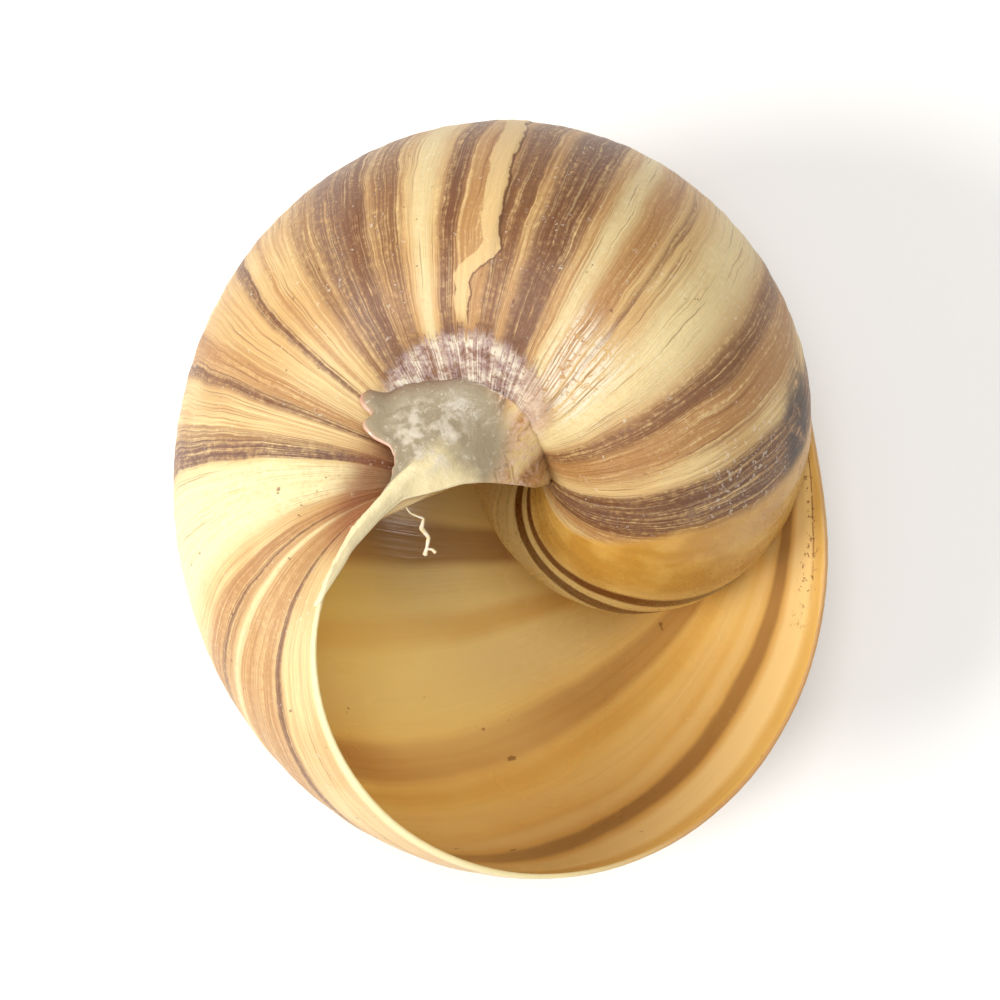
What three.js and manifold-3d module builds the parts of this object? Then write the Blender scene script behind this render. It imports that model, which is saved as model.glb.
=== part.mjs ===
// Land snail shell: one coiled, thin-walled, right-handed shell with an open mouth, a narrow umbilicus
// and its real spiral hollow inside. Millimetres, +Z up.
//
// The whorls grow as a logarithmic spiral about a coiling axis. In the shell's own frame the apex is at
// the origin and the axis runs down -Z, so the mouth is at the bottom. At the end the shell is laid
// down the way it rests on a table, on its spire and the shoulder of its last whorl, base up.
import * as THREE from 'three';
import Module from 'manifold-3d';

const wasm = await Module();
wasm.setup();

// ---- driving dimensions ----
const DEGREE = Math.PI / 180;
const TURN = 2 * Math.PI;
const WHORL_COUNT = 4.5;
const EXPANSION = 1.954; // each whorl is this many times as large as the one before
const SECTION_OUT = 12.5; // axis to the middle of the whorl's section, at the mouth
const SECTION_DOWN = 35.2; // apex to the middle of the section, at the mouth
const SECTION_HALF_WIDTH = 16.0;
const SECTION_HALF_HEIGHT = 17.5;
const SECTION_TILT = 2 * DEGREE;
const UMBILICUS = 1.6; // holds the section back from the axis and leaves the navel open
const LAST_RISE = 4.4; // the last half turn comes up this much towards the apex
const LAST_RISE_ANGLE = 172 * DEGREE;
const LIP_LEAN = 24.9 * DEGREE; // the mouth's plane leans forward at its top
const LIP_SKEW = -18.8 * DEGREE; // and is turned a little about the axis
const LIP_SETBACK = -2.3;
const WALL = 0.5; // wall thickness at the mouth
const COLUMELLA = 2.2; // how much thicker the wall is where it winds round the axis
const CALLUS_RADIUS = 5.5; // the turned-back lip spreads this far over the navel
const CALLUS_DOWN = 51; // its depth below the apex, at the mouth's size
const CALLUS_FROM = -184 * DEGREE;
const CALLUS_TO = -286 * DEGREE;
const CALLUS_THICKNESS = 1.1;
const HOLLOW_TURNS = 3; // the hollow is open this far in; the first whorls are solid
const STEPS_PER_TURN = 20;
const RING_POINTS = 24;
// How it lies: spun about its own axis, tipped over, then turned on the table.
const LIE_SPIN = 171 * DEGREE;
const LIE_TIP = 137.4 * DEGREE;
const LIE_TURN = 114 * DEGREE;
const CALLUS_STEPS = 8;
const CALLUS_POINTS = 6; // along each side of the callus's section
const PIECE_STEPS = 5; // the whorl is built in quarter turns, which never run into themselves
const APEX_STEPS = 3; // the tip closes over this many steps

// Growth from the apex to the angle theta, which is 0 at the mouth and negative behind it.
const growth = (theta) => EXPANSION ** (theta / TURN);
const lastRise = (theta) => LAST_RISE * Math.max(0, 1 + theta / LAST_RISE_ANGLE) ** 2;

// The whorl's outline in the half plane through the axis, at the mouth's size. psi is 0 on the rim
// farthest from the axis, 90 degrees on the side facing the apex and -90 degrees on the base.
function outline(psi) {
  const x = SECTION_HALF_WIDTH * Math.cos(psi);
  const y = SECTION_HALF_HEIGHT * Math.sin(psi);
  const out = SECTION_OUT + x * Math.cos(SECTION_TILT) - y * Math.sin(SECTION_TILT);
  const down = SECTION_DOWN - x * Math.sin(SECTION_TILT) - y * Math.cos(SECTION_TILT);
  return new THREE.Vector2(0.5 * (out + Math.hypot(out, 2 * UMBILICUS)), down);
}

// The same outline moved inwards by the wall, for the hollow.
function innerOutline(psi, inset) {
  const nudge = 0.01;
  const tangent = outline(psi + nudge).sub(outline(psi - nudge)).normalize();
  const inward = new THREE.Vector2(tangent.y, -tangent.x);
  return outline(psi).addScaledVector(inward, inset);
}

const wallAt = (psi) => WALL + COLUMELLA * Math.max(0, -Math.cos(psi)) ** 3;

// How far ahead of theta 0 the lip's plane meets the whorl at section angle psi. Earlier growth lines
// have the same shape, so this is the lead of all of them.
function lipLead(psi) {
  const { x: radius, y: down } = outline(psi);
  const reach = Math.hypot(radius, 2.5);
  let theta = 0;
  for (let pass = 0; pass < 12; pass += 1) {
    const g = growth(theta);
    const sideways = Math.sin(LIP_SKEW) * (g * radius * Math.cos(theta) - SECTION_OUT);
    const lean = Math.sin(LIP_LEAN) * (g * down - lastRise(theta) - SECTION_DOWN);
    const ahead = (LIP_SETBACK + sideways - lean) / (Math.cos(LIP_SKEW) * Math.cos(LIP_LEAN) * g);
    theta = 0.5 * (theta + Math.asin(THREE.MathUtils.clamp(ahead / reach, -0.97, 0.97)));
  }
  return theta;
}

const RING = Array.from({ length: RING_POINTS }, (_, j) => {
  const psi = (j / RING_POINTS) * TURN;
  return { psi, lead: lipLead(psi) };
});

// One growth line all round the whorl, `step` steps from the mouth.
function growthLine(step, hollow) {
  const along = (step / STEPS_PER_TURN) * TURN;
  const fromTip = step + WHORL_COUNT * STEPS_PER_TURN;
  const closing = Math.sqrt(Math.min(1, Math.max(0.02, fromTip / APEX_STEPS)));
  const points = RING.map(({ psi, lead }) => {
    const theta = along + lead;
    const g = growth(theta);
    const { x: radius, y: down } = hollow ? innerOutline(psi, wallAt(psi) / Math.sqrt(g)) : outline(psi);
    const z = lastRise(theta) - g * down;
    return new THREE.Vector3(g * radius * Math.cos(theta), -g * radius * Math.sin(theta), z);
  });
  const middle = points.reduce((sum, point) => sum.add(point), new THREE.Vector3());
  middle.divideScalar(points.length);
  points.forEach((point) => point.lerp(middle, 1 - closing));
  return { points, middle };
}

// A closed solid from the growth line at `first` to the one at `last`.
function whorlPiece(first, last, hollow) {
  const lines = [];
  for (let step = first; step <= last; step += 1) lines.push(growthLine(step, hollow));
  return sweep(lines);
}

// The callus: a thin fan of shell over the navel, from the columella out to the base of the whorl.
function callusPiece() {
  const lines = [];
  for (let step = 0; step <= CALLUS_STEPS; step += 1) {
    const share = step / CALLUS_STEPS;
    const theta = THREE.MathUtils.lerp(CALLUS_TO, CALLUS_FROM, share);
    const reach = CALLUS_RADIUS * Math.min(1, 0.5 + share);
    const edge = Array.from({ length: CALLUS_POINTS }, (_, k) => {
      const radius = THREE.MathUtils.lerp(-2 * UMBILICUS, reach, k / (CALLUS_POINTS - 1));
      const bulge = 1 - (radius / reach) ** 2;
      const z = -growth(theta) * (CALLUS_DOWN + 0.5 * bulge);
      return new THREE.Vector3(radius * Math.cos(theta), -radius * Math.sin(theta), z);
    });
    const back = edge.map((point) => point.clone().setZ(point.z + CALLUS_THICKNESS)).reverse();
    const points = [...edge, ...back];
    const middle = points.reduce((sum, point) => sum.add(point), new THREE.Vector3());
    lines.push({ points, middle: middle.divideScalar(points.length) });
  }
  return sweep(lines);
}

// Joins closed lines of equally many points, with a fan over the first and the last.
function sweep(lines) {
  const around = lines[0].points.length;
  const vertices = lines.flatMap(({ points }) => points);
  const start = vertices.push(lines[0].middle) - 1;
  const end = vertices.push(lines.at(-1).middle) - 1;
  const triangles = [];
  const lastLine = (lines.length - 1) * around;
  for (let j = 0; j < around; j += 1) {
    const next = (j + 1) % around;
    for (let i = 0; i < lines.length - 1; i += 1) {
      const a = i * around;
      const b = a + around;
      triangles.push(a + j, b + next, b + j, a + j, a + next, b + next);
    }
    triangles.push(start, next, j, end, lastLine + j, lastLine + next);
  }
  return solidFrom(vertices, triangles);
}

function solidFrom(vertices, triangles) {
  const mesh = new wasm.Mesh({
    numProp: 3,
    vertProperties: Float32Array.from(vertices.flatMap((vertex) => vertex.toArray())),
    triVerts: Uint32Array.from(triangles),
  });
  return new wasm.Manifold(mesh);
}

// The hollow of each piece stops at the whorls inside it, so that their walls stay whole.
function shellSolid() {
  const firstStep = -WHORL_COUNT * STEPS_PER_TURN;
  const hollowFrom = -HOLLOW_TURNS * STEPS_PER_TURN;
  const bodies = [];
  let whole = null;
  let hollow = null;
  for (let first = firstStep; first < 0; first += PIECE_STEPS) {
    const last = first + PIECE_STEPS;
    const body = whorlPiece(first, last, false);
    whole = whole ? whole.add(body) : body;
    if (first >= hollowFrom) {
      const innerWhorls = bodies.slice(0, -1).reduce((sum, piece) => sum.add(piece));
      const room = whorlPiece(first, last === 0 ? last + 2 : last, true).subtract(innerWhorls);
      hollow = hollow ? hollow.add(room) : room;
    }
    bodies.push(body);
  }
  return largestPart(whole.add(callusPiece()).subtract(hollow));
}

// Drops the slivers that a cut leaves where two walls meet.
function largestPart(solid) {
  const parts = solid.decompose();
  return parts.reduce((best, candidate) => (candidate.volume() > best.volume() ? candidate : best));
}

function geometryFrom(solid) {
  const mesh = solid.getMesh();
  const geometry = new THREE.BufferGeometry();
  geometry.setAttribute('position', new THREE.BufferAttribute(mesh.vertProperties, 3));
  geometry.setIndex(new THREE.BufferAttribute(mesh.triVerts, 1));
  geometry.computeVertexNormals();
  return geometry;
}

const horn = new THREE.MeshStandardMaterial({ color: 0xc9a066, roughness: 0.42, metalness: 0 });
const shell = new THREE.Mesh(geometryFrom(shellSolid()), horn);
shell.name = 'shell';
shell.rotation.z = LIE_SPIN;

const tipped = new THREE.Group();
tipped.rotation.x = LIE_TIP;
tipped.add(shell);

const turned = new THREE.Group();
turned.rotation.z = LIE_TURN;
turned.add(tipped);

const part = new THREE.Group();
part.add(turned);

// The origin is in the middle of the shell's footprint, on the table.
part.updateMatrixWorld(true);
const box = new THREE.Box3().setFromObject(part, true);
const centre = box.getCenter(new THREE.Vector3());
turned.position.set(-centre.x, -centre.y, -box.min.z);

export default part;
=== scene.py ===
"""A land snail shell, lying base up on a pale table.

The shell is one closed mesh, made from the same growth spiral as the CAD solid: each growth line is a
copy of the lip, turned about the coiling axis and shrunk. Its markings are worked out in the
shader from coordinates that the mesh carries: how far back from the lip a point grew ("growth", in
degrees, 0 at the lip), where it is round the whorl ("around", in degrees), how far inside the next
whorl ("covered"), how far from the flake's edge ("flake", in degrees) and how near the callus ("near").
The callus over the navel is a second mesh, a skin stretched over the columella, and the dried thread
in the mouth is a third.
"""

import math

import bpy
import numpy as np
from mathutils import Matrix, Vector, noise
from mathutils.bvhtree import BVHTree


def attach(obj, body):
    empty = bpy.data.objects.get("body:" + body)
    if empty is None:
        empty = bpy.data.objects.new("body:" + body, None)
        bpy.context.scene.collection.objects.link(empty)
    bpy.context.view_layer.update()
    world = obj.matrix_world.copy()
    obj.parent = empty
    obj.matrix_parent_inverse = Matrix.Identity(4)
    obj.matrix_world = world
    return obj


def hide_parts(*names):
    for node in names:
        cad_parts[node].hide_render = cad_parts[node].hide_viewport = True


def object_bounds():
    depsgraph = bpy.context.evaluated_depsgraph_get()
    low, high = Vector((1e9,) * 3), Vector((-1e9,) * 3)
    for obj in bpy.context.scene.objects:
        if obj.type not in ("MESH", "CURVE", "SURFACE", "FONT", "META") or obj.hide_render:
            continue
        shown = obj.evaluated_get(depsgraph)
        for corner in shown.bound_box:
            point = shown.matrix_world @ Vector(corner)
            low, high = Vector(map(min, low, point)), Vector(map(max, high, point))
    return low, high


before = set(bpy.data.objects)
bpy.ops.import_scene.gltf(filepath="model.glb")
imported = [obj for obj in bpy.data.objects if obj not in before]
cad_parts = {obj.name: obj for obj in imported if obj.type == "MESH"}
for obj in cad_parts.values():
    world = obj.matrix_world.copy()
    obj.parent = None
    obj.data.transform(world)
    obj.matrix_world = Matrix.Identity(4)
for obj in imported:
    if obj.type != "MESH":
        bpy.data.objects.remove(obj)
cad_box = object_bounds()

MM = 0.001
TURN = 2 * math.pi

# ---- the growth spiral, in millimetres and radians, as in the CAD solid ----
WHORL_COUNT = 4.5
EXPANSION = 1.954
SECTION_OUT = 12.5
SECTION_DOWN = 35.2
SECTION_HALF_WIDTH = 16.0
SECTION_HALF_HEIGHT = 17.5
SECTION_TILT = math.radians(2)
UMBILICUS = 1.6
LAST_RISE = 4.4
LAST_RISE_ANGLE = math.radians(172)
LIP_LEAN = math.radians(24.9)
LIP_SKEW = math.radians(-18.8)
LIP_SETBACK = -2.3
WALL = 0.5
COLUMELLA = 0.8
LIE_SPIN = math.radians(171)
LIE_TIP = math.radians(137.4)
LIE_TURN = math.radians(114)

LIE_DOWN = (
    Matrix.Rotation(LIE_TURN, 3, "Z") @ Matrix.Rotation(LIE_TIP, 3, "X") @ Matrix.Rotation(LIE_SPIN, 3, "Z")
)


def growth(theta):
    return EXPANSION ** (theta / TURN)


def last_rise(theta):
    return LAST_RISE * np.clip(1 + theta / LAST_RISE_ANGLE, 0, None) ** 2


def outline(psi):
    """The whorl's section at the mouth's size: distance from the axis and depth below the apex."""
    x = SECTION_HALF_WIDTH * np.cos(psi)
    y = SECTION_HALF_HEIGHT * np.sin(psi)
    out = SECTION_OUT + x * math.cos(SECTION_TILT) - y * math.sin(SECTION_TILT)
    down = SECTION_DOWN - x * math.sin(SECTION_TILT) - y * math.cos(SECTION_TILT)
    return 0.5 * (out + np.hypot(out, 2 * UMBILICUS)), down


def inner_outline(psi, inset):
    """The same section moved inwards by the wall; a negative inset moves it outwards."""
    nudge = 0.01
    after, before = outline(psi + nudge), outline(psi - nudge)
    tangent = np.array([after[0] - before[0], after[1] - before[1]])
    tangent /= np.hypot(*tangent)
    radius, down = outline(psi)
    return radius + inset * tangent[1], down - inset * tangent[0]


def inside_outline(radius, down):
    """Below 0 where a point, at the mouth's size, is inside the section."""
    out = radius - UMBILICUS**2 / np.maximum(radius, 1e-3) - SECTION_OUT
    up = SECTION_DOWN - down
    x = out * math.cos(SECTION_TILT) + up * math.sin(SECTION_TILT)
    y = up * math.cos(SECTION_TILT) - out * math.sin(SECTION_TILT)
    return np.hypot(x / SECTION_HALF_WIDTH, y / SECTION_HALF_HEIGHT) - 1


def lip_lead(psi):
    """How far ahead of theta 0 the lip's plane meets the whorl."""
    radius, down = outline(psi)
    reach = np.hypot(radius, 2.5)
    theta = np.zeros_like(radius)
    for _ in range(12):
        g = growth(theta)
        sideways = math.sin(LIP_SKEW) * (g * radius * np.cos(theta) - SECTION_OUT)
        lean = math.sin(LIP_LEAN) * (g * down - last_rise(theta) - SECTION_DOWN)
        ahead = (LIP_SETBACK + sideways - lean) / (math.cos(LIP_SKEW) * math.cos(LIP_LEAN) * g)
        theta = 0.5 * (theta + np.arcsin(np.clip(ahead / reach, -0.97, 0.97)))
    return theta


# ---- the shell's mesh ----
AROUND = 84  # points round each face of the wall
LIP_ROUNDS = 4  # steps round the lip's edge
TIP_CLOSING = math.radians(50)
BURIED = 0.3  # how deep a whorl's edges run into the wall of the whorl before it
RIDGE = 0.07  # height of the growth ridges, in millimetres
FLAKE = -206.0  # growth coordinate, in degrees, where a flake of the outer layer has come away
FLAKE_DEPTH = 0.2
FLAKE_FADES = 14  # the step at the flake's edge fades out over so many degrees
LIP_WAVER = 0.35  # how unevenly the lip grew, in degrees
LIP_THINNING = 0.6  # the wall's share of its thickness at the lip


def seam(angle, towards):
    """The section angle at which the whorl meets the one before it, going from the periphery `towards`."""
    start = math.radians(40 if towards > 0 else -110)
    psi = start + towards * np.radians(np.arange(0, 125, 0.5))
    theta = angle + lip_lead(psi)
    radius, down = outline(psi)
    g = growth(theta)
    before = growth(theta - TURN)
    depth = (g * down - last_rise(theta) + last_rise(theta - TURN)) / before
    inside = inside_outline(g * radius / before, depth) * before * SECTION_HALF_WIDTH
    buried = BURIED * math.sqrt(growth(angle))
    met = np.argmax(inside < -buried)
    return psi[met] if inside[met] < -buried else start + towards * math.radians(124)


def covered_by_next(along, psi):
    """How far inside the next whorl's outline a point of the outer face is, in millimetres."""
    theta = np.radians(along) + lip_lead(psi)
    radius, down = outline(psi)
    g, after = growth(theta), growth(theta + TURN)
    depth = (g * down - last_rise(theta) + last_rise(theta + TURN)) / after
    return -inside_outline(g * radius / after, depth) * after * SECTION_HALF_WIDTH


def whorl_points(angle, psi, inset):
    """Points on the growth line at `angle`, moved in from the outer face by `inset` millimetres."""
    theta = angle + lip_lead(psi)
    g = growth(theta)
    radius, down = inner_outline(psi, inset / np.sqrt(g))
    x, y = g * radius * np.cos(theta), -g * radius * np.sin(theta)
    return np.stack([x, y, last_rise(theta) - g * down], -1)


def wall_at(psi):
    return WALL + COLUMELLA * np.clip(-np.cos(psi), 0, None) ** 3


def growth_angles():
    """Where the mesh's growth lines are, in degrees: closer on the last whorl and at the flake's edge."""
    tip = np.arange(-360 * WHORL_COUNT, -720, 6)
    middle = np.arange(-720, -408, 4)
    last = np.arange(-408, -214, 1.35)
    flake = np.arange(-214, -199, 0.4)
    lip = np.linspace(-199, 0, 150)
    return np.concatenate([tip, middle, last, flake, lip])


def waver(x, y, seed):
    """Smooth noise from -1 to 1."""
    return noise.noise(Vector((x, y, seed)))


def smooth_step(value, low, high):
    share = np.clip((value - low) / (high - low), 0, 1)
    return share * share * (3 - 2 * share)


def clamp(value):
    return max(0, min(1, value))


def flake_edge(psi):
    """The growth coordinate of the flake's edge at section angle `psi`, both in degrees."""
    lobe = -1.6 * math.exp(-(((psi + 48) / 14) ** 2)) - 2.2 * math.exp(-(((psi + 56) / 4) ** 2))
    sway = 2.5 * smooth_step(psi, -15, 20) + 3.6 * smooth_step(psi, -60, -68)
    return FLAKE + 1 + lobe + sway + 0.9 * waver(psi / 4, 0, 3) + 0.45 * waver(psi / 1.3, 0, 4)


def relief(along, psi):
    """How far the outer face stands out, in millimetres, at a growth coordinate and angle in degrees."""
    ridges = waver(along / 2.6, psi / 70, 1) + 0.6 * waver(along / 7, psi / 90, 2)
    height = RIDGE * ridges * min(1, abs(along) / 4)
    kept = clamp((along - flake_edge(psi)) / 0.5 + 0.5)
    thinning = clamp(1 - (along - FLAKE - 2) / FLAKE_FADES)
    ends = clamp((psi + 84) / 6) * clamp((20 - psi) / 15)
    return height + FLAKE_DEPTH * kept * (thinning * ends)


def build_shell():
    angles = growth_angles()
    rings, psis = [], []
    for along in angles:
        angle = math.radians(along)
        psi = np.linspace(seam(angle, -1), seam(angle, 1), AROUND)
        if along > -1:
            angle_here = angle + np.radians([LIP_WAVER * waver(p * 3.5, 0, 5) for p in psi])
        else:
            angle_here = angle
        raised = np.array([relief(along, p) for p in np.degrees(psi)])
        thickness = LIP_THINNING + (1 - LIP_THINNING) * min(1, -along / 7)
        outer = whorl_points(angle_here, psi, -raised)
        inner = whorl_points(angle_here, psi, wall_at(psi) * thickness)
        ring = np.concatenate([outer, inner[::-1]])
        from_tip = angle + WHORL_COUNT * TURN
        closing = math.sqrt(min(1, max(0.003, from_tip / TIP_CLOSING)))
        middle = ring.mean(0)
        rings.append(middle + (ring - middle) * closing)
        psis.append(np.concatenate([psi, psi[::-1]]))
    points = np.array(rings)
    psis = np.array(psis)
    count, around = psis.shape

    growths = np.repeat(angles[:, None], around, 1)
    inner_side = np.concatenate([np.zeros(AROUND), np.ones(AROUND)])[None].repeat(count, 0)

    # the rounded edge of the lip runs from the outer face over to the inner one
    last = points[-1]
    outer, inner = last[:AROUND], last[AROUND:][::-1]
    forward = last - points[-3]
    forward = forward[:AROUND] / np.linalg.norm(forward[:AROUND], axis=1)[:, None]
    half = np.linalg.norm(inner - outer, axis=1)[:, None] / 2
    edge = []
    for k in range(1, LIP_ROUNDS):
        turn = math.pi * k / LIP_ROUNDS
        across = (outer + inner) / 2 + (outer - inner) / 2 * math.cos(turn)
        edge.append(across + forward * np.minimum(half, WALL) * 0.8 * math.sin(turn))
    edge = np.array(edge)

    vertices = np.concatenate([points.reshape(-1, 3), edge.reshape(-1, 3)])
    growth_value = np.concatenate([growths.ravel(), np.zeros(edge.shape[0] * AROUND)])
    psi_value = np.concatenate([psis.ravel(), np.tile(psis[-1][:AROUND], edge.shape[0])])
    over_lip = np.linspace(0, 1, edge.shape[0] + 2)[1:-1]
    side_value = np.concatenate([inner_side.ravel(), over_lip.repeat(AROUND)])

    index = np.arange(count * around).reshape(count, around)
    a, b = index[:-1], index[1:]
    walls = np.stack([a, b, np.roll(b, -1, 1), np.roll(a, -1, 1)], -1).reshape(-1, 4)
    rows = [index[-1, :AROUND]]
    rows += [count * around + k * AROUND + np.arange(AROUND) for k in range(edge.shape[0])]
    rows.append(index[-1, AROUND:][::-1])
    rows = np.array(rows)
    c, d = rows[:-1], rows[1:]
    lip = np.stack([c[:, :-1], d[:, :-1], d[:, 1:], c[:, 1:]], -1).reshape(-1, 4)
    first, back = index[0], index[0][::-1]
    tip = np.stack([first[: AROUND - 1], first[1:AROUND], back[1:AROUND], back[: AROUND - 1]], -1)
    faces = np.concatenate([walls, lip, tip])
    inside_face = (side_value[faces].mean(1) > 0.9).astype(int)
    return vertices, faces, growth_value, np.degrees(psi_value), side_value, inside_face


def laid_down(vertices):
    """From the shell's own frame to the table's, in metres, before it is moved over the origin."""
    return vertices @ np.array(LIE_DOWN).T * MM


def new_object(name, points, faces):
    mesh = bpy.data.meshes.new(name)
    mesh.from_pydata(points, [], faces)
    mesh.shade_smooth()
    obj = bpy.data.objects.new(name, mesh)
    bpy.context.scene.collection.objects.link(obj)
    return obj


def carry(mesh, name, values):
    layer = mesh.attributes.new(name, "FLOAT", "POINT")
    layer.data.foreach_set("value", np.asarray(values, np.float32))


def is_the_shell(obj):
    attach(obj, "root")
    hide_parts("shell")


vertices, faces, growth_value, psi_value, side_value, inside_face = build_shell()
placed = laid_down(vertices)
box_low, box_high = np.array(cad_box[0]), np.array(cad_box[1])
shift = (box_low + box_high - placed.min(0) - placed.max(0)) / 2
shift[2] = box_low[2] - placed[:, 2].min()
placed = placed + shift

shell = new_object("land_snail_shell", placed.tolist(), faces.tolist())
carry(shell.data, "growth", growth_value)
carry(shell.data, "around", psi_value)
carry(shell.data, "covered", np.clip(covered_by_next(growth_value, np.radians(psi_value)), -5, 5))
carry(shell.data, "flake", [along - flake_edge(psi) for along, psi in zip(growth_value, psi_value)])
is_the_shell(shell)


# ---- the callus, a skin drawn out from the columella over the navel ----
# Its outline on the table's plane, in millimetres: the torn free edge over the navel, the edge laid on the
# last whorl, and the edge over the mouth.
TORN_EDGE = [
    (-11.2, -7.2), (-10.15, -4.75), (-9.05, -2.6), (-7.55, -1.0), (-6.55, 0.6), (-6.3, 1.85), (-6.6, 2.75),
    (-7.45, 3.15), (-8.2, 3.75), (-8.4, 4.35), (-7.8, 4.7), (-8.05, 5.1), (-8.5, 5.25), (-8.5, 6.2),
]
LAID_EDGE = [
    (-8.5, 6.2), (-7.95, 6.6), (-6.9, 6.25), (-5.5, 6.9), (-3.4, 7.05), (-2.15, 7.2), (-1.1, 6.85),
    (0.1, 6.3),
    (1.2, 5.6), (2.0, 4.6), (2.5, 3.5), (2.9, 2.5), (3.2, 1.6), (3.4, 0.8),
]
MOUTH_EDGE = [
    (-10.95, -7.2), (-9.4, -4.75), (-8.8, -3.65), (-7.0, -1.6), (-5.8, -0.55), (-3.7, 0.0), (-2.1, 0.5),
    (-0.65, 0.62), (1.3, 0.5), (2.4, 0.35), (3.4, 0.8),
]
FAN_LONG = 72
FAN_WIDE = 46
FAN_THICK = 0.32
FAN_LIFT = 0.1  # least height over the shell beneath
FAN_SINKS = 10  # rows at the laid edge over which the skin thins out into the shell
SKIN_START = 30.5, 24.0  # heights from which the skin settles, at the lip and at the laid edge
SKIN_STEPS = 2500


def along_polyline(points, count, ragged=0.0):
    """`count` points evenly along a rounded polyline."""
    points = np.array(points, float)
    lengths = np.concatenate([[0], np.cumsum(np.hypot(*np.diff(points, axis=0).T))])
    dense = np.linspace(0, lengths[-1], 40 * len(points))
    curve = np.stack([np.interp(dense, lengths, points[:, k]) for k in (0, 1)], -1)
    window = 17
    padded = np.concatenate([curve[:1].repeat(window // 2, 0), curve, curve[-1:].repeat(window // 2, 0)])
    curve = np.stack([np.convolve(padded[:, k], np.ones(window) / window, "valid") for k in (0, 1)], -1)
    curve[0], curve[-1] = points[0], points[-1]
    lengths = np.concatenate([[0], np.cumsum(np.hypot(*np.diff(curve, axis=0).T))])
    even = np.linspace(0, lengths[-1], count)
    result = np.stack([np.interp(even, lengths, curve[:, k]) for k in (0, 1)], -1)
    for k in range(1, count - 1):
        result[k] += ragged * np.array([waver(k / 2.0, 0, 11), waver(k / 2.0, 0, 12)])
    return result


def patch_between(left, right, start, end):
    """A grid of points filling the space between four edges (a Coons patch)."""
    s = np.linspace(0, 1, len(left))[:, None, None]
    t = np.linspace(0, 1, len(start))[None, :, None]
    ruled = (1 - t) * left[:, None] + t * right[:, None] + (1 - s) * start[None] + s * end[None]
    corners = (1 - s) * ((1 - t) * left[0] + t * right[0]) + s * ((1 - t) * left[-1] + t * right[-1])
    return ruled - corners


def drape(plan, tree):
    """Heights of a taut skin over the shell: it rests on what is under it and spans the gaps."""
    top = box_high[2] + 0.01
    ground = np.zeros(plan.shape[:2])
    for i, j in np.ndindex(ground.shape):
        hit = tree.ray_cast(Vector((plan[i, j, 0] * MM, plan[i, j, 1] * MM, top)), Vector((0, 0, -1)))[0]
        ground[i, j] = hit.z / MM if hit is not None else 0.0
    rows = np.arange(len(plan))[:, None]
    rest = ground + FAN_LIFT - 2 * FAN_LIFT * smooth_step(rows, len(plan) - 1 - FAN_SINKS, len(plan) - 1)
    height = np.maximum(rest, np.linspace(*SKIN_START, len(plan))[:, None])
    first = np.full(rest.shape[1], rest[0].max() - 2 * FAN_LIFT)
    for _ in range(SKIN_STEPS):
        padded = np.pad(height, 1, mode="edge")
        mean = (padded[:-2, 1:-1] + padded[2:, 1:-1] + padded[1:-1, :-2] + padded[1:-1, 2:]) / 4
        height = np.maximum(mean, rest)
        height[-1] = rest[-1]
        height[0] = first
    return height


def beneath(points, tree, values):
    """What the nearest place on the shell carries, for each of `points`."""
    found = []
    for point in points:
        nearest, _, face, _ = tree.find_nearest(Vector(point))
        corners = faces[face]
        weight = 1 / (np.linalg.norm(placed[corners] - np.array(nearest), axis=1) + 1e-6)
        found.append(weight @ values[corners] / weight.sum())
    return np.array(found)


def build_fan(tree):
    torn = along_polyline(TORN_EDGE, FAN_LONG, 0.1)
    mouth = along_polyline(MOUTH_EDGE, FAN_LONG)
    laid = along_polyline(LAID_EDGE, FAN_WIDE, 0.12)
    start = np.linspace(torn[0], mouth[0], FAN_WIDE)
    plan = patch_between(torn, mouth, start, laid)
    height = drape(plan, tree)
    top = np.concatenate([plan, height[..., None]], -1)
    for i, j in np.ndindex(height.shape):
        x, y = plan[i, j]
        top[i, j, 2] += 0.05 * waver(x / 0.9, y / 0.9, 13) * min(1, (len(plan) - 1 - i) / 6)
    under = top - np.array([0, 0, FAN_THICK])
    index = np.arange(FAN_LONG * FAN_WIDE).reshape(FAN_LONG, FAN_WIDE)
    a, b = index[:-1, :-1], index[1:, :-1]
    c, d = index[1:, 1:], index[:-1, 1:]
    sheet = np.stack([a, b, c, d], -1).reshape(-1, 4)
    back = sheet[:, ::-1] + index.size
    rim = np.concatenate([index[0], index[1:, -1], index[-1, -2::-1], index[-2:0:-1, 0]])
    following = np.roll(rim, -1)
    edge = np.stack([rim, following, following + index.size, rim + index.size], -1)
    points = np.concatenate([top.reshape(-1, 3), under.reshape(-1, 3)])
    s, t = np.meshgrid(np.linspace(0, 1, FAN_LONG), np.linspace(0, 1, FAN_WIDE), indexing="ij")
    return points * MM, np.concatenate([sheet, back, edge]), np.tile(s.ravel(), 2), np.tile(t.ravel(), 2)


THREAD = [
    (-5.95, -0.55, 28.35), (-5.35, -1.35, 28.0), (-4.55, -1.65, 27.5), (-4.7, -2.25, 27.1),
    (-4.25, -2.8, 26.9), (-4.35, -3.4, 26.8), (-4.5, -3.95, 26.7),
]
THREAD_RADII = [0.05, 0.05, 0.08, 0.15, 0.12, 0.1, 0.16]
THREAD_FOOT = [(-4.4, -3.5, 26.8), (-4.0, -3.55, 26.7), (-3.8, -3.75, 26.6)]


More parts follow.
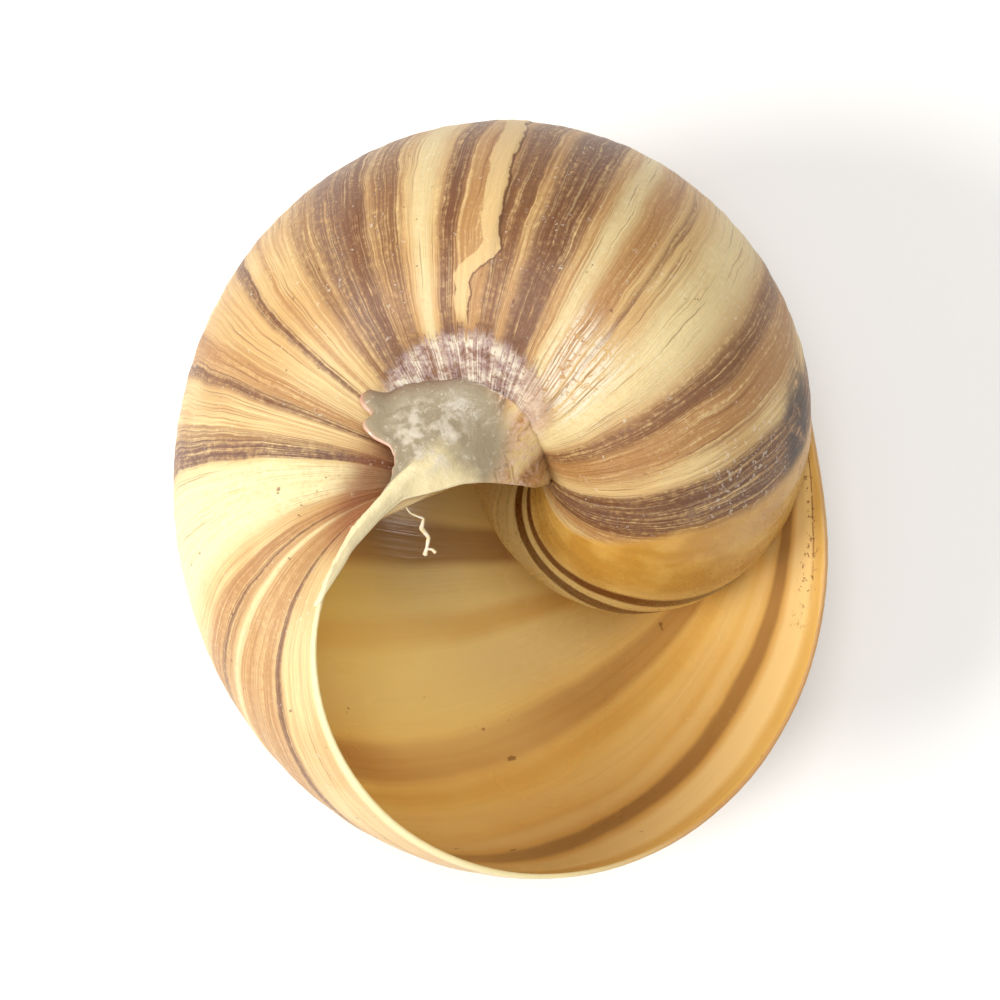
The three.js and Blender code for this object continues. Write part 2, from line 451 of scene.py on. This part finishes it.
def tube(path, radii, sides=10, steps=9):
    """A closed tube along a path of points."""
    path, knots = np.array(path, float), np.arange(len(path))
    fine = np.linspace(0, len(path) - 1, steps * (len(path) - 1) + 1)
    line = np.stack([np.interp(fine, knots, path[:, k]) for k in range(3)], -1)
    line[1:-1] = (line[:-2] + 2 * line[1:-1] + line[2:]) / 4
    width = np.interp(fine, knots, radii)
    width[0] = width[-1] = 0.02
    forward = np.gradient(line, axis=0)
    forward /= np.linalg.norm(forward, axis=1)[:, None]
    side = np.cross(forward, [0.2, 0.3, 1.0])
    side /= np.linalg.norm(side, axis=1)[:, None]
    up = np.cross(side, forward)
    turn = np.arange(sides) / sides * TURN
    lumps = np.array([[1 + 0.3 * waver(3 * a, f, 21) for a in np.cos(turn)] for f in fine])
    spread = (np.cos(turn)[None, :, None] * side[:, None] + np.sin(turn)[None, :, None] * up[:, None])
    points = line[:, None] + spread * (width[:, None] * lumps)[..., None]
    index = np.arange(len(fine) * sides).reshape(len(fine), sides)
    a, b = index[:-1], index[1:]
    walls = np.stack([a, np.roll(a, -1, 1), np.roll(b, -1, 1), b], -1).reshape(-1, 4).tolist()
    return points.reshape(-1, 3), walls + [index[0][::-1].tolist(), index[-1].tolist()]


def build_thread():
    stem, stem_faces = tube(THREAD, THREAD_RADII)
    foot, foot_faces = tube(THREAD_FOOT, [0.08, 0.09, 0.12])
    foot_faces = [[i + len(stem) for i in face] for face in foot_faces]
    return np.concatenate([stem, foot]) * MM, stem_faces + foot_faces


bpy.context.view_layer.update()
tree = BVHTree.FromPolygons([tuple(p) for p in placed], faces.tolist())
fan_points, fan_faces, fan_along, fan_across = build_fan(tree)
callus = new_object("callus", fan_points.tolist(), fan_faces.tolist())
carry(callus.data, "outward", fan_along)
carry(callus.data, "across", fan_across)
fan_growth, fan_around = beneath(fan_points, tree, np.stack([growth_value, psi_value], -1)).T
carry(callus.data, "growth", fan_growth)
carry(callus.data, "around", fan_around)
is_the_shell(callus)
thread_points, thread_faces = build_thread()
thread = new_object("dried_thread", thread_points.tolist(), thread_faces)
is_the_shell(thread)
CALLUS_MIDDLE = np.array([-0.0022, 0.0045])  # of the worn ring round the callus, on the table's plane
# FADE_MIDDLE is also the middle of the callus's painted highlight
FADE_MIDDLE = np.array([-0.0042, 0.0035])  # of the callus's grey part, on the same plane
carry(shell.data, "near", np.hypot(*(placed[:, :2] - CALLUS_MIDDLE).T) / MM)
carry(callus.data, "near", np.hypot(*(fan_points[:, :2] - FADE_MIDDLE).T) / MM)


# ---- materials ----


def tone(red, green, blue):
    """A colour in 0 to 255 as seen on a screen, as the shader's linear light."""
    def linear(value):
        value /= 255
        return value / 12.92 if value <= 0.04045 else ((value + 0.055) / 1.055) ** 2.4

    return (linear(red), linear(green), linear(blue), 1)


CREAM = tone(222, 190, 134)
WARM = tone(204, 164, 106)
PALE = tone(236, 218, 166)
TAN = tone(166, 118, 66)
BROWN = tone(112, 70, 38)
DARK = tone(104, 62, 32)
PURPLE = tone(106, 70, 54)
PALE_HONEY = tone(240, 204, 134)
HONEY = tone(230, 190, 116)
NEAR_LIP = tone(180, 138, 76)
AMBER_LIGHT = tone(220, 176, 98)
AMBER = tone(206, 156, 76)
GLAZE = tone(204, 154, 74)
GLAZE_DARK = tone(186, 134, 54)
DEEP_AMBER = tone(120, 64, 14)
RED_BROWN = tone(134, 56, 18)
DARK_LINE = tone(98, 46, 8)
CHALK = tone(236, 222, 198)
DIRT = tone(58, 40, 26)
STRIP = tone(232, 212, 164)
PEARL = tone(150, 136, 110)
MILK = tone(206, 194, 174)
PINK = tone(222, 160, 138)
LILAC = tone(162, 134, 130)
ROSE = tone(206, 168, 140)
ROUGH_HORN = (0.36, 0.36, 0.36, 1)
ROUGH_GLAZE = (0.2, 0.2, 0.2, 1)
ROUGH_CHALK = (0.75, 0.75, 0.75, 1)


class Paint:
    """A material's nodes. Each method adds one and returns the socket that holds its result."""

    def __init__(self, name):
        self.material = bpy.data.materials.new(name)
        self.material.use_nodes = True
        self.nodes = self.material.node_tree.nodes
        self.links = self.material.node_tree.links
        self.shader = self.nodes["Principled BSDF"]

    def put(self, node, name, value):
        if isinstance(value, bpy.types.NodeSocket):
            self.links.new(value, node.inputs[name])
        else:
            node.inputs[name].default_value = value

    def attribute(self, name):
        node = self.nodes.new("ShaderNodeAttribute")
        node.attribute_name = name
        return node.outputs["Fac"]

    def place(self):
        return self.nodes.new("ShaderNodeTexCoord").outputs["Object"]

    def math(self, operation, a, b=0.0):
        node = self.nodes.new("ShaderNodeMath")
        node.operation = operation
        self.put(node, 0, a)
        self.put(node, 1, b)
        return node.outputs[0]

    def product(self, *factors):
        result = factors[0]
        for factor in factors[1:]:
            result = self.math("MULTIPLY", result, factor)
        return result

    def ramp(self, value, low, high, smooth=True):
        """0 at `low` to 1 at `high`; `low` may be the larger."""
        node = self.nodes.new("ShaderNodeMapRange")
        node.interpolation_type = "SMOOTHSTEP" if smooth else "LINEAR"
        flip = low > high
        self.put(node, "Value", value)
        self.put(node, "From Min", min(low, high))
        self.put(node, "From Max", max(low, high))
        self.put(node, "To Min", 1.0 if flip else 0.0)
        self.put(node, "To Max", 0.0 if flip else 1.0)
        return node.outputs["Result"]

    def band(self, value, centre, half, soft):
        """1 within `half` of `centre`, fading to 0 over `soft`."""
        distance = self.math("ABSOLUTE", self.math("SUBTRACT", value, centre))
        return self.ramp(distance, half + soft / 2, half - soft / 2)

    def noise(self, vector, scale, detail=2.0, rough=0.5):
        node = self.nodes.new("ShaderNodeTexNoise")
        self.put(node, "Vector", vector)
        self.put(node, "Scale", scale)
        self.put(node, "Detail", detail)
        self.put(node, "Roughness", rough)
        return node.outputs["Fac"]

    def stretched(self, x, x_scale, y, y_scale, seed=0.0):
        node = self.nodes.new("ShaderNodeCombineXYZ")
        self.put(node, "X", self.math("MULTIPLY", x, x_scale))
        self.put(node, "Y", self.math("MULTIPLY", y, y_scale))
        self.put(node, "Z", seed)
        return node.outputs[0]

    def mix(self, amount, a, b):
        node = self.nodes.new("ShaderNodeMix")
        node.data_type = "RGBA"
        self.put(node, "Factor", amount)
        sockets = {s.identifier: s for s in node.inputs}
        for socket, value in ((sockets["A_Color"], a), (sockets["B_Color"], b)):
            if isinstance(value, bpy.types.NodeSocket):
                self.links.new(value, socket)
            else:
                socket.default_value = value
        return [s for s in node.outputs if s.identifier == "Result_Color"][0]

    def skin(self, weight):
        """Lets a little light pass through the wall."""
        self.shader.inputs["Subsurface Weight"].default_value = weight
        self.shader.inputs["Subsurface Radius"].default_value = (1.0, 0.8, 0.5)
        self.shader.inputs["Subsurface Scale"].default_value = 0.002

    def bump(self, height, strength, distance):
        node = self.nodes.new("ShaderNodeBump")
        self.put(node, "Height", height)
        self.put(node, "Strength", strength)
        self.put(node, "Distance", distance)
        self.links.new(node.outputs["Normal"], self.shader.inputs["Normal"])


# Streaks on the outer face, from the lip backwards: where, how wide, how soft the edges, colour, strength.
STREAKS = [
    (-38, 15.0, 12.0, TAN, 0.4),
    (-120, 5.0, 6.0, TAN, 0.3),
    (-182, 32.0, 16.0, TAN, 0.35),
    (-222, 16.0, 8.0, TAN, 0.45),
    (-272, 12.0, 8.0, TAN, 0.55),
    (-20.5, 1.6, 2.0, BROWN, 0.7),
    (-27, 3.5, 4.0, TAN, 0.55),
    (-35, 2.0, 3.0, TAN, 0.45),
    (-41, 1.5, 3.0, PALE, 0.5),
    (-47.5, 0.9, 1.5, BROWN, 0.7),
    (-52, 3.0, 4.0, TAN, 0.8),
    # painted light: this pale band lies where the side facing the key light is brightest
    (-78, 14.0, 10.0, PALE, 0.7),
    (-97, 3.4, 1.0, PURPLE, 0.85),
    (-102, 2.0, 3.0, BROWN, 0.45),
    (-116.5, 1.8, 2.5, BROWN, 0.65),
    (-122, 2.6, 3.0, TAN, 0.8),
    (-139, 1.6, 2.0, BROWN, 0.75),
    (-145, 1.0, 2.0, TAN, 0.6),
    (-156, 2.0, 3.0, BROWN, 0.5),
    (-166, 7.0, 5.0, PURPLE, 0.6),
    (-170, 3.0, 3.0, BROWN, 0.7),
    (-178, 3.5, 3.0, BROWN, 0.55),
    (-187, 2.5, 4.0, PALE, 0.4),
    (-194.5, 2.6, 2.0, BROWN, 0.75),
    (-202, 5.0, 4.0, TAN, 0.5),
    (-209, 3.2, 2.0, BROWN, 0.6),
    (-220, 4.8, 4.0, PURPLE, 0.5),
    (-220, 4.2, 3.5, BROWN, 0.8),
    (-231, 2.2, 3.0, PALE, 0.4),
    (-238, 2.6, 3.0, TAN, 0.75),
    (-243, 0.8, 1.5, BROWN, 0.5),
    (-256, 7.0, 8.0, PALE, 0.35),
    (-269, 3.6, 4.0, BROWN, 0.6),
    (-277, 4.5, 5.0, TAN, 0.8),
    (-310, 5.0, 5.0, TAN, 0.8),
    (-299, 9.0, 3.0, DARK, 0.8),
    (-299, 6.0, 4.0, PURPLE, 0.25),
]
STREAK_DEPTH = 1.5  # scales the strength of every streak


def horn(paint, along, around, place):
    """The streaked colour of the outer face, and what else follows the growth lines."""
    sway = paint.math("SUBTRACT", paint.noise(place, 260, 3), 0.5)
    swayed = paint.math("ADD", along, paint.math("MULTIPLY", sway, 3.0))
    lines = paint.noise(paint.stretched(swayed, 1.1, around, 0.016), 1.0, 5, 0.7)
    hairs = paint.noise(paint.stretched(swayed, 4.0, around, 0.05, 4.0), 1.0, 3, 0.6)
    specks = paint.noise(place, 2600, 3, 0.65)
    clouds = paint.noise(place, 150, 2)

    colour = paint.mix(paint.ramp(clouds, 0.35, 0.65), CREAM, WARM)
    colour = paint.mix(paint.product(paint.ramp(lines, 0.44, 0.64), 0.55), colour, TAN)
    colour = paint.mix(paint.product(paint.ramp(hairs, 0.52, 0.7), 0.35), colour, TAN)
    broken = paint.ramp(paint.math("ADD", lines, paint.product(specks, 0.5)), 0.45, 0.85)
    bundled = paint.math("ADD", swayed, paint.math("MULTIPLY", paint.math("SUBTRACT", lines, 0.5), 5.0))
    for centre, half, soft, ink, strength in STREAKS:
        depth = min(1, STREAK_DEPTH * strength)
        amount = paint.product(paint.band(bundled, centre, half, soft), broken, depth)
        colour = paint.mix(amount, colour, ink)
    crisp = paint.noise(paint.stretched(swayed, 2.0, around, 0.02, 6.0), 1.0, 2, 0.5)
    colour = paint.mix(paint.product(paint.ramp(crisp, 0.6, 0.68), 0.55), colour, BROWN)
    colour = paint.mix(paint.product(paint.ramp(crisp, 0.4, 0.3), 0.25), colour, PALE)
    return colour, swayed, lines, hairs, specks


def outer_face():
    """The weathered outer face: streaks along the growth lines, the worn base and the glazed wall."""
    paint = Paint("horn_outside")
    along, around, place = paint.attribute("growth"), paint.attribute("around"), paint.place()
    covered = paint.attribute("covered")
    grit = paint.noise(place, 900, 4, 0.7)
    colour, swayed, lines, hairs, specks = horn(paint, along, around, place)

    # the spire's own streaks, on the whorls before the last
    spire = paint.product(paint.ramp(along, -312, -335), paint.ramp(around, -40, 0))
    stripe = paint.noise(paint.stretched(swayed, 0.07, around, 0.004, 9.0), 1.0, 3, 0.6)
    spire_colour = paint.mix(paint.ramp(lines, 0.4, 0.75), CREAM, WARM)
    spire_colour = paint.mix(paint.product(paint.ramp(stripe, 0.47, 0.56), 0.8), spire_colour, BROWN)
    spire_colour = paint.mix(paint.product(paint.ramp(stripe, 0.56, 0.64), 0.6), spire_colour, PURPLE)
    spire_colour = paint.mix(paint.product(paint.ramp(along, -900, -1300), 0.7), spire_colour, CHALK)
    colour = paint.mix(spire, colour, spire_colour)

    # where the flake came away, and a thin painted shadow line under its edge
    frayed = paint.math("MULTIPLY", paint.math("SUBTRACT", grit, 0.5), 1.5)
    flake = paint.math("ADD", paint.attribute("flake"), frayed)
    flake_here = paint.product(paint.ramp(around, -86, -80), paint.ramp(around, 22, 10))
    kept = paint.product(paint.band(flake, 2.2, 2.2, 0.4), flake_here)
    colour = paint.mix(paint.product(kept, 0.7), colour, CREAM)
    # painted shadow: a dark line along the outside of the flake's step
    flake_edge_painted_shadow = paint.product(paint.band(flake, -0.3, 0.22, 0.3), flake_here)
    colour = paint.mix(paint.product(flake_edge_painted_shadow, 0.8), colour, DARK)

    # red-brown in the navel: partly the shell's own colour, partly painted shade of the navel's hollow
    navel = paint.product(paint.ramp(around, -120, -134), paint.ramp(along, -140, -120))
    colour = paint.mix(paint.product(navel, 0.55), colour, RED_BROWN)
    # painted shade, darkest deepest in the navel
    navel_painted_shade = paint.product(paint.ramp(around, -124, -136), paint.ramp(along, -140, -120))
    navel_painted_shade = paint.product(navel_painted_shade, paint.ramp(along, -30, -50))
    colour = paint.mix(paint.product(navel_painted_shade, 0.6), colour, DEEP_AMBER)

    # worn to a chalky purple round the callus, and scratched white beside it
    near = paint.attribute("near")
    base = paint.product(paint.ramp(along, -140, -160), paint.ramp(along, -262, -240))
    notched = paint.math("ADD", paint.product(grit, 1.8), paint.product(lines, 3.2))
    ragged = paint.math("ADD", near, paint.math("SUBTRACT", notched, 2.5))
    worn = paint.product(paint.ramp(ragged, 5.75, 5.1), base)
    pitted = paint.math("ADD", paint.product(grit, 0.5), paint.product(lines, 0.5))
    chalky = paint.mix(paint.ramp(pitted, 0.47, 0.6), LILAC, CHALK)
    chalky = paint.mix(paint.ramp(pitted, 0.48, 0.41), chalky, PURPLE)
    chalky = paint.mix(paint.product(paint.ramp(specks, 0.46, 0.38), 0.6), chalky, BROWN)
    chalky = paint.mix(paint.product(paint.ramp(along, -222, -240), 0.6), chalky, ROSE)
    colour = paint.mix(paint.product(worn, 0.85), colour, chalky)
    patch = paint.product(paint.band(along, -243, 10, 8), paint.band(around, -71, 17, 14))
    scratched = paint.product(patch, paint.ramp(lines, 0.44, 0.56), paint.ramp(specks, 0.34, 0.5))
    colour = paint.mix(paint.product(scratched, 0.8), colour, CHALK)
    grooved = paint.product(patch, paint.ramp(lines, 0.45, 0.38), paint.ramp(specks, 0.36, 0.5))
    colour = paint.mix(paint.product(grooved, 0.6), colour, BROWN)

    # light flecks everywhere, more of them where the whorl rubbed
    rubbed = paint.ramp(paint.noise(place, 420, 3), 0.42, 0.7)
    flecks = paint.product(paint.ramp(specks, 0.6, 0.7), rubbed, 0.5)
    colour = paint.mix(flecks, colour, CHALK)
    pits = paint.ramp(paint.noise(place, 1500, 2), 0.72, 0.76)
    colour = paint.mix(paint.product(pits, 0.7), colour, DARK)

    # rubbed, and dirty where the lip meets the last whorl
    rubbed_band = paint.product(paint.band(along, -298, 13, 6), paint.band(around, -16, 22, 20))
    colour = paint.mix(paint.product(rubbed_band, paint.ramp(specks, 0.56, 0.64), 0.4), colour, CHALK)
    dirty = paint.product(paint.band(along, -302, 16, 12), paint.band(around, 14, 10, 10))
    colour = paint.mix(paint.product(dirty, paint.ramp(grit, 0.36, 0.52), 0.9), colour, DIRT)

    # the glazed amber wall inside the mouth, with two dark lines; its paler colour further in is painted
    # light, lifting the shade deep in the mouth
    bend = paint.math("MULTIPLY", paint.ramp(around, -40, -100), 16.0)
    bent = paint.math("ADD", along, bend)
    glazed = paint.product(paint.ramp(bent, -303, -309), paint.ramp(covered, 0.1, 0.5))
    glaze = paint.mix(paint.ramp(paint.noise(place, 420, 3), 0.35, 0.6), GLAZE, GLAZE_DARK)
    # painted light: paler further in, where the wall lies in shade
    glaze = paint.mix(paint.ramp(bent, -330, -360), glaze, PALE_HONEY)
    glaze = paint.mix(paint.band(bent, -344, 3.4, 2.5), glaze, DARK_LINE)
    glaze = paint.mix(paint.band(bent, -359, 5.0, 2.5), glaze, DARK_LINE)
    colour = paint.mix(glazed, colour, glaze)

    # the cream edge of the lip
    lip = paint.ramp(along, -3.0, -1.2)
    colour = paint.mix(paint.product(lip, 0.8), colour, paint.mix(paint.ramp(around, -30, 20), PALE, TAN))

    paint.links.new(colour, paint.shader.inputs["Base Color"])
    dull = paint.mix(glazed, ROUGH_HORN, ROUGH_GLAZE)
    dull = paint.mix(paint.product(worn, 0.6), dull, ROUGH_CHALK)
    dull = paint.math("ADD", dull, paint.math("MULTIPLY", specks, 0.18))
    paint.links.new(dull, paint.shader.inputs["Roughness"])
    height = paint.math("ADD", paint.product(lines, 0.7), paint.product(hairs, 0.5))
    rough = paint.math("ADD", paint.product(worn, 1.5), 0.25)
    height = paint.math("ADD", height, paint.product(specks, rough))
    calm = paint.math("SUBTRACT", 1.0, paint.product(glazed, 0.85))
    paint.bump(paint.product(height, calm), 0.55, 0.00016)
    paint.skin(0.35)
    return paint.material


# Bands on the inner face, seen softly through the glaze.
INNER_BANDS = [
    (-8, 4.0, 3.0, CREAM, 0.75),
    (-16.5, 2.6, 2.0, BROWN, 0.6),
    (-23, 2.0, 3.0, CREAM, 0.4),
    (-31, 3.0, 6.0, CREAM, 0.3),
    (-39, 2.0, 5.0, AMBER, 0.5),
    (-48, 4.6, 3.5, DEEP_AMBER, 0.42),
    (-63, 6.0, 8.0, CREAM, 0.45),
    (-75, 3.0, 4.0, AMBER, 0.6),
    (-94, 5.0, 3.5, DEEP_AMBER, 0.6),
    (-107, 5.0, 5.0, CREAM, 0.3),
    (-122, 6.0, 6.0, DEEP_AMBER, 0.5),
]


def inner_face():
    """The smooth, honey-coloured face inside the mouth."""
    paint = Paint("horn_inside")
    along, around, place = paint.attribute("growth"), paint.attribute("around"), paint.place()
    sway = paint.math("SUBTRACT", paint.noise(place, 120, 2), 0.5)
    swayed = paint.math("ADD", along, paint.math("MULTIPLY", sway, 4.0))
    lines = paint.noise(paint.stretched(swayed, 0.5, around, 0.012, 2.0), 1.0, 4, 0.6)
    clouds = paint.noise(place, 130, 3)
    grit = paint.noise(place, 900, 4, 0.7)

    colour = paint.mix(paint.ramp(clouds, 0.3, 0.7), HONEY, AMBER_LIGHT)
    colour = paint.mix(paint.product(paint.ramp(lines, 0.45, 0.7), 0.4), colour, AMBER)
    colour = paint.mix(paint.product(paint.ramp(along, -36, -14), 0.7), colour, NEAR_LIP)
    colour = paint.mix(paint.product(paint.ramp(along, -40, -70), 0.8), colour, PALE_HONEY)
    for centre, half, soft, ink, strength in INNER_BANDS:
        colour = paint.mix(paint.product(paint.band(swayed, centre, half, soft), strength), colour, ink)
    # a painted reflection of the lamp: a soft light patch on the glossy inner face
    painted_light_patch = paint.product(paint.band(around, 20, 18, 24), paint.band(along, -68, 22, 24))
    colour = paint.mix(paint.product(painted_light_patch, 0.5), colour, PALE_HONEY)
    streaky = paint.noise(paint.stretched(swayed, 0.08, around, 0.004, 7.0), 1.0, 2)
    streaks = paint.product(paint.ramp(streaky, 0.5, 0.6), paint.ramp(along, -115, -130), 0.5)
    colour = paint.mix(streaks, colour, DEEP_AMBER)

    # dried dirt inside the upper lip
    specks = paint.noise(place, 2200, 3, 0.65)
    dirty = paint.product(paint.band(along, -5.5, 3.0, 3), paint.band(around, 78, 14, 14))
    colour = paint.mix(paint.product(dirty, paint.ramp(specks, 0.57, 0.63), 0.7), colour, DARK)
    crack = paint.product(paint.band(swayed, -4.0, 0.3, 0.5), paint.band(around, 84, 12, 14))
    colour = paint.mix(paint.product(crack, paint.ramp(grit, 0.4, 0.5), 0.7), colour, DARK)
    colour = paint.mix(paint.product(paint.ramp(paint.noise(place, 700, 2), 0.74, 0.78), 0.6), colour, DARK)
    # the columella is cream
    columella = paint.product(paint.ramp(around, -118, -135), paint.ramp(along, -40, -12))
    colour = paint.mix(columella, colour, CREAM)

    paint.links.new(colour, paint.shader.inputs["Base Color"])
    paint.links.new(paint.ramp(clouds, 0.0, 2.2, False), paint.shader.inputs["Roughness"])
    paint.bump(paint.math("ADD", lines, paint.product(grit, 0.15)), 0.3, 0.00012)
    paint.skin(0.45)
    return paint.material


def callus_skin():
    """Glossy pearl-grey callus, cream along the columella, milky white towards its middle with a painted
    highlight.
    """
    paint = Paint("callus_enamel")
    outward, across, place = paint.attribute("outward"), paint.attribute("across"), paint.place()
    clouds = paint.noise(place, 420, 4, 0.6)
    blotches = paint.noise(place, 900, 3, 0.6)
    fine = paint.noise(place, 2600, 3, 0.6)
    near = paint.attribute("near")
    under, _, lines, _, _ = horn(paint, paint.attribute("growth"), paint.attribute("around"), place)
    rubbed = paint.math("ADD", paint.product(fine, 0.5), paint.product(lines, 0.5))
    rosy = paint.product(paint.ramp(rubbed, 0.46, 0.58), paint.ramp(near, 8.0, 6.0))
    faded = paint.mix(rosy, under, ROSE)
    reach = paint.math("ADD", outward, paint.math("MULTIPLY", across, -0.3))
    reach = paint.math("ADD", reach, paint.math("MULTIPLY", paint.math("SUBTRACT", clouds, 0.5), 0.25))
    colour = paint.mix(paint.ramp(reach, 0.34, 0.52), STRIP, PEARL)
    # milky white towards the middle: partly the callus's own milky blotches, partly a painted highlight
    milk_and_painted_highlight = paint.product(paint.ramp(blotches, 0.42, 0.62), paint.ramp(near, 3.2, 1.2), 0.8)
    colour = paint.mix(milk_and_painted_highlight, colour, MILK)
    thin = paint.product(paint.ramp(near, 4.0, 5.8), paint.ramp(outward, 0.4, 0.55))
    colour = paint.mix(thin, colour, faded)
    left = paint.ramp(across, 0.6, 0.4)
    colour = paint.mix(paint.product(paint.ramp(outward, 0.93, 1.0), left, 0.6), colour, PURPLE)
    torn = paint.product(paint.ramp(across, 0.035, 0.0), paint.ramp(outward, 0.3, 0.45), 0.6)
    colour = paint.mix(torn, colour, PINK)
    colour = paint.mix(paint.product(paint.ramp(fine, 0.62, 0.7), 0.3), colour, CHALK)
    paint.links.new(colour, paint.shader.inputs["Base Color"])
    paint.links.new(paint.ramp(blotches, 0.1, 1.6, False), paint.shader.inputs["Roughness"])
    paint.bump(paint.math("ADD", blotches, paint.product(fine, 0.3)), 0.5, 0.0002)
    paint.skin(0.2)
    return paint.material


def dried_film():
    paint = Paint("dried_film")
    flecks = paint.noise(paint.place(), 3000, 3)
    colour = paint.mix(paint.ramp(flecks, 0.4, 0.6), CHALK, STRIP)
    paint.links.new(colour, paint.shader.inputs["Base Color"])
    paint.shader.inputs["Roughness"].default_value = 0.6
    paint.bump(flecks, 0.5, 0.00005)
    return paint.material


def white_table():
    paint = Paint("white_table")
    paint.shader.inputs["Base Color"].default_value = (0.93, 0.92, 0.9, 1)
    paint.shader.inputs["Roughness"].default_value = 0.8
    return paint.material


shell.data.materials.append(outer_face())
shell.data.materials.append(inner_face())
shell.data.polygons.foreach_set("material_index", inside_face)
callus.data.materials.append(callus_skin())
thread.data.materials.append(dried_film())

# ---- the table, lights and camera ----
CAMERA_PLACE = Vector((0.0056, -0.0145, 0.3715))
CAMERA_UP = Vector((-0.002, 0.9996, 0.0295))
AIM = Vector((0, 0, (cad_box[0][2] + cad_box[1][2]) / 2))
bpy.context.scene.view_settings.view_transform = "Standard"


def look_at(obj, target, up=Vector((0, 1, 0))):
    back = (obj.location - target).normalized()
    right = up.cross(back).normalized()
    obj.rotation_mode = "QUATERNION"
    obj.rotation_quaternion = Matrix((right, back.cross(right), back)).transposed().to_quaternion()


reach = 40 * max(box_high - box_low)
corners = [(-reach, -reach, 0), (reach, -reach, 0), (reach, reach, 0), (-reach, reach, 0)]
floor = new_object("table", corners, [(0, 1, 2, 3)])
floor.data.materials.append(white_table())

world = bpy.data.worlds.new("studio")
bpy.context.scene.world = world
world.use_nodes = True
world.node_tree.nodes["Background"].inputs["Color"].default_value = (1, 1, 1, 1)
world.node_tree.nodes["Background"].inputs["Strength"].default_value = 0.44


def softbox(name, place, width, power, colour=(1, 1, 1)):
    data = bpy.data.lights.new(name, "AREA")
    data.shape = "DISK"
    data.size = width
    data.energy = power
    data.color = colour
    lamp = bpy.data.objects.new(name, data)
    bpy.context.scene.collection.objects.link(lamp)
    lamp.location = AIM + Vector(place)
    look_at(lamp, AIM)


softbox("key", (-0.42, -0.1, 0.36), 0.3, 3.2, (1, 0.98, 0.94))
softbox("overhead", (0.05, 0.08, 0.85), 0.4, 3.9)

camera = bpy.data.objects.new("camera", bpy.data.cameras.new("camera"))
bpy.context.scene.collection.objects.link(camera)
bpy.context.scene.camera = camera
camera.data.lens = 200
camera.location = CAMERA_PLACE
look_at(camera, AIM, CAMERA_UP)
